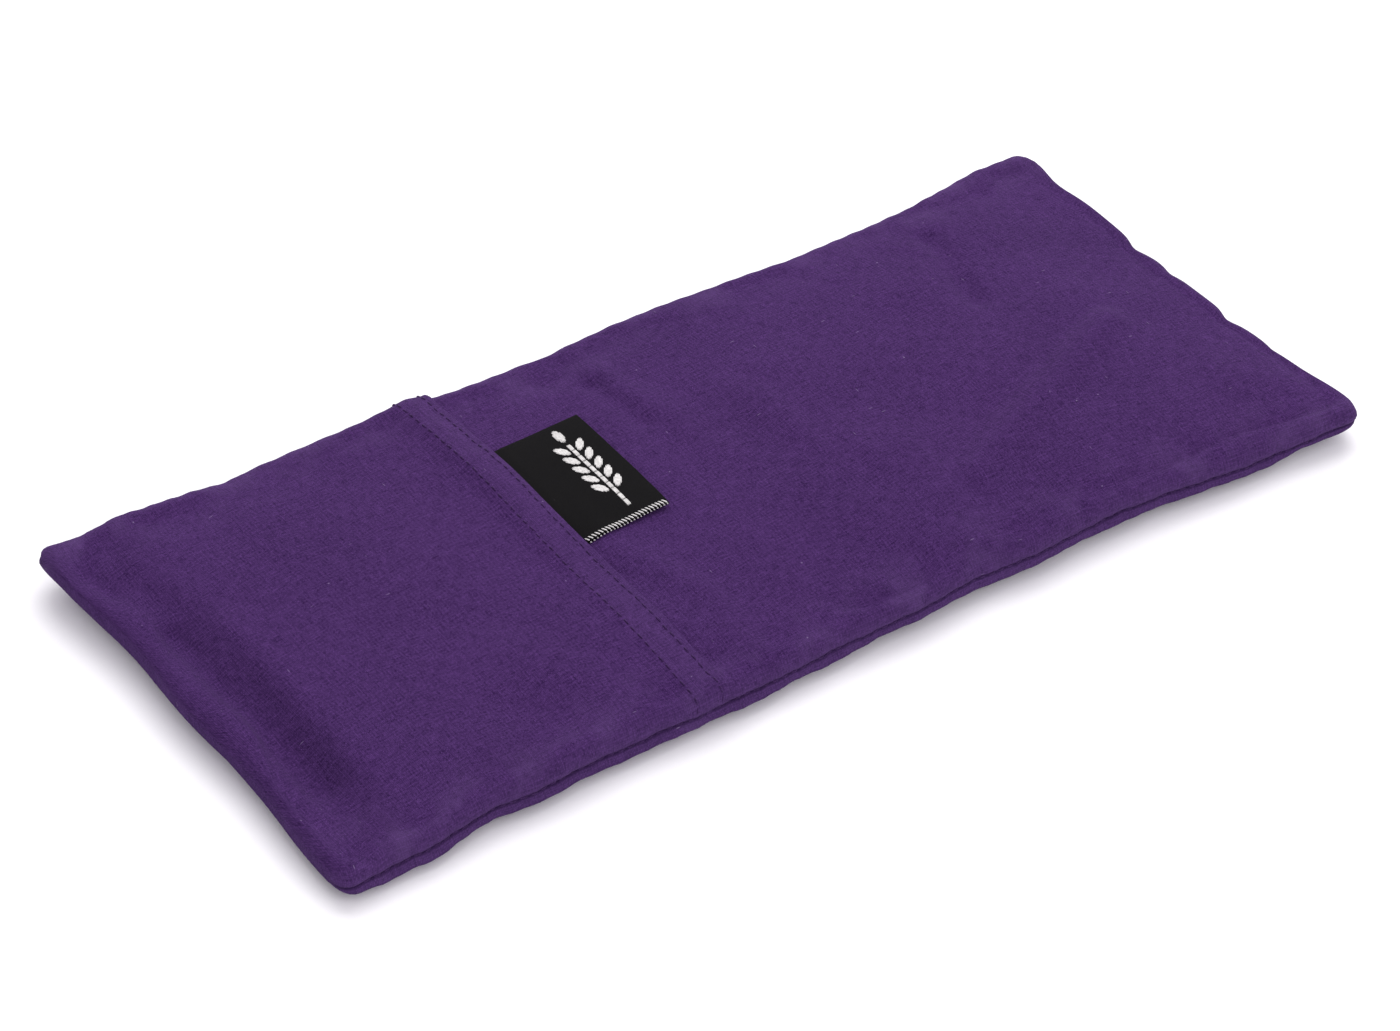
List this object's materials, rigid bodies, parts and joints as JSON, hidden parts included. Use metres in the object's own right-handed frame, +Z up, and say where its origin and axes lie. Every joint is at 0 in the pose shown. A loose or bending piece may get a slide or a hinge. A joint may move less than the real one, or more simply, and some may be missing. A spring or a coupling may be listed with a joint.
{
  "type": "eye pillow",
  "caption": "Slim seed-filled eye pillow in a removable cotton envelope cover, with a hemmed overlapping flap and a small woven loop label.",
  "frame": {"origin": "middle of the underside, on the surface the pillow lies on", "axes": "+X along the pillow from the outer flap's end to the plain end, +Y across it towards the back long side, +Z up out of the upper side"},
  "size_m": [0.2298, 0.1, 0.015],
  "materials": {
    "cover_cotton": "matte",
    "purple_thread": "matte",
    "label_black": "satin",
    "label_white": "satin",
    "inner_muslin": "matte",
    "natural_thread": "matte",
    "linseed": "satin"
  },
  "bodies": {
    "pillow": {"cover_underside": "cover_cotton", "cover_inner_flap": "cover_cotton", "cover_outer_flap": "cover_cotton", "front_seam_thread": "purple_thread", "back_seam_thread": "purple_thread", "front_seam_overlock": "purple_thread", "back_seam_overlock": "purple_thread", "inner_hem_thread": "purple_thread", "hem_edge_thread": "purple_thread", "hem_fold_thread": "purple_thread", "label_tail": "label_black", "inner_bag_top": "inner_muslin", "inner_bag_bottom": "inner_muslin", "inner_bag_seam_thread": "natural_thread", "inner_bag_closing_thread": "natural_thread", "linseed_fill": "linseed"},
    "label": {"label_flag": "label_black", "label_selvage": "label_white", "label_motif": "label_white"}
  },
  "joints": [
    {"name": "label_flip", "type": "hinge", "parent": "pillow", "child": "label", "pos_m": [-0.0322, 0.0105, 0.01335], "axis": [0, -1, 0], "range_deg": [0, 135]}
  ]
}
